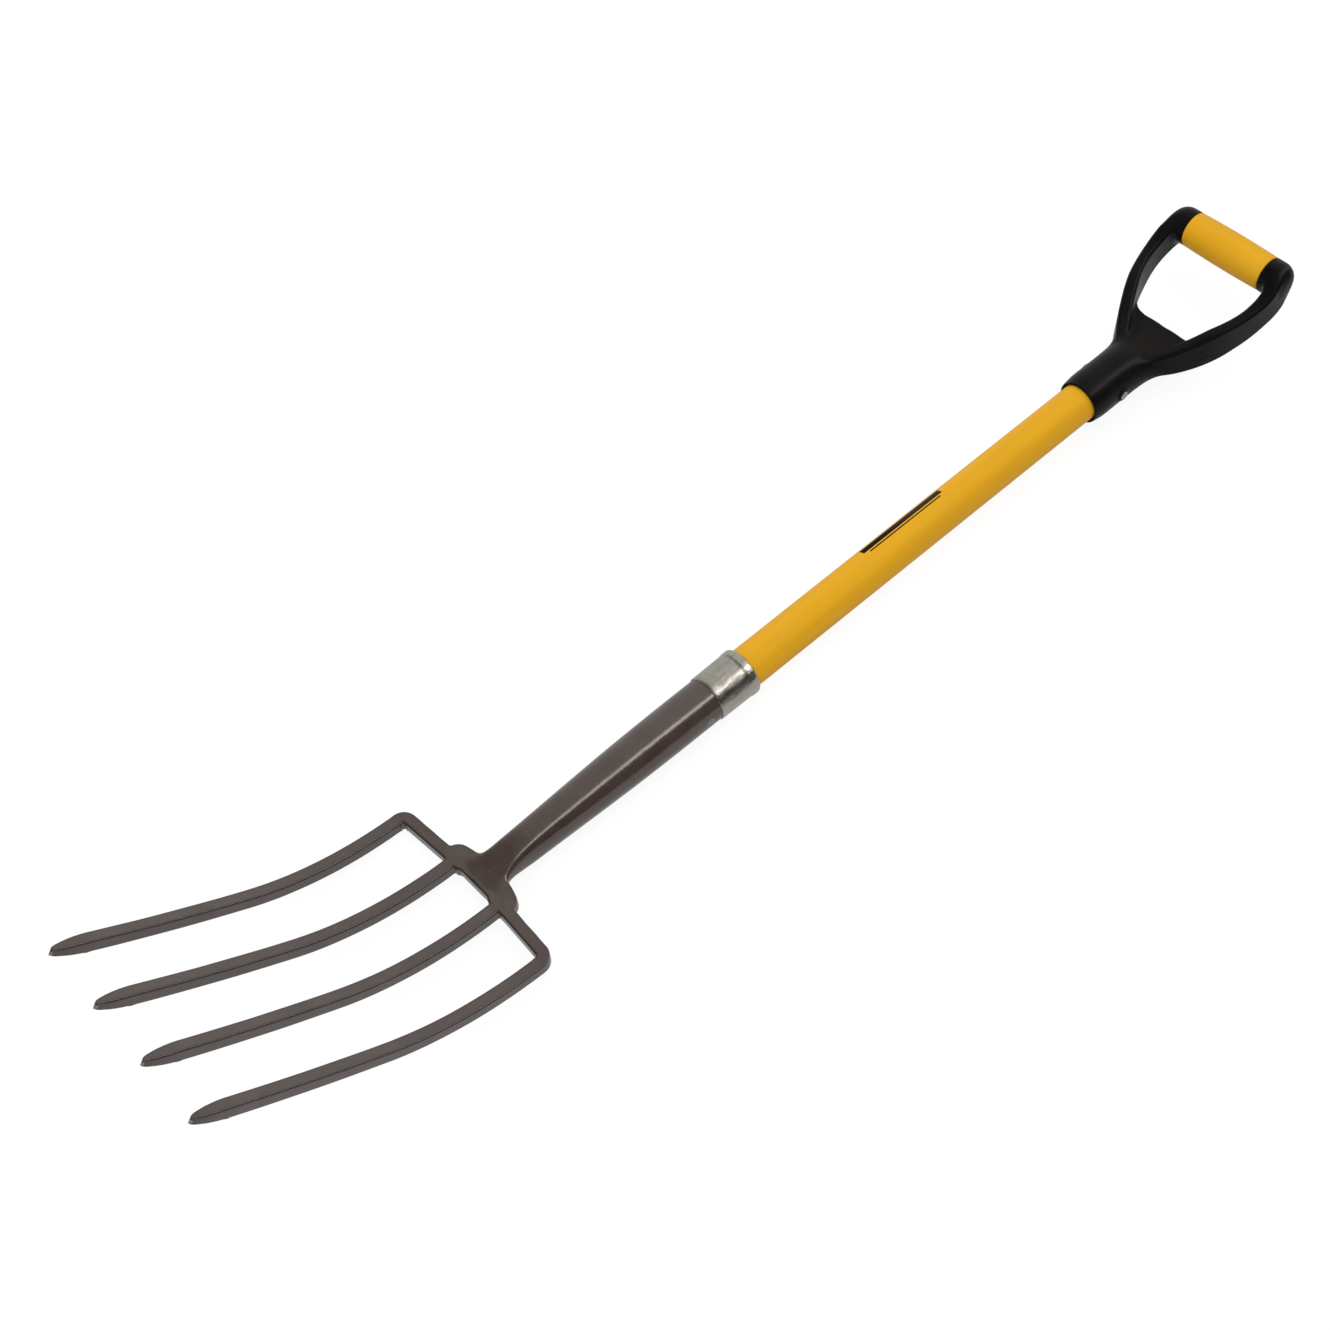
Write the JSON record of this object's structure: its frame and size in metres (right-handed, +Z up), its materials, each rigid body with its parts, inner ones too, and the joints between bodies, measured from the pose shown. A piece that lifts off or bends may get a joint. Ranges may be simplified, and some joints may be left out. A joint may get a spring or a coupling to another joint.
{
  "type": "digging fork",
  "caption": "Garden digging fork with square curved tines, a long tapered steel socket, a sleeved fibreglass shaft and a D handle with a barrel grip.",
  "frame": {"origin": "floor level, under the middle of the whole fork's bounding box, with the fork lying on its back as it rests: on its ferrule, on the socket's knee and on the heel of its left outer tine", "axes": "+Y from the tine tips towards the handle, +Z up through the front of the fork, +X to the right seen from the front with the handle away"},
  "size_m": [0.1902, 1.136, 0.1607],
  "materials": {
    "head_paint": "semi-gloss brown-grey powder coat over forged steel",
    "zinc_steel": "bright zinc plate with faint blemishes",
    "rivet_steel": "plain steel, slightly dull",
    "yellow_plastic": "satin yellow polypropylene",
    "black_plastic": "satin black polypropylene",
    "fibreglass": "pultruded glass fibre, resin coloured",
    "plug_wood": "plain turned hardwood"
  },
  "bodies": {
    "root": {"fork_head": "head_paint", "socket": "head_paint", "socket_rivet": "rivet_steel", "ferrule": "zinc_steel", "shaft_core": "fibreglass", "shaft_jacket": "yellow_plastic", "socket_end_plug": "plug_wood", "handle_end_plug": "plug_wood", "handle_yoke": "black_plastic", "handle_rivet": "rivet_steel", "grip_sleeve": "yellow_plastic"}
  },
  "joints": []
}
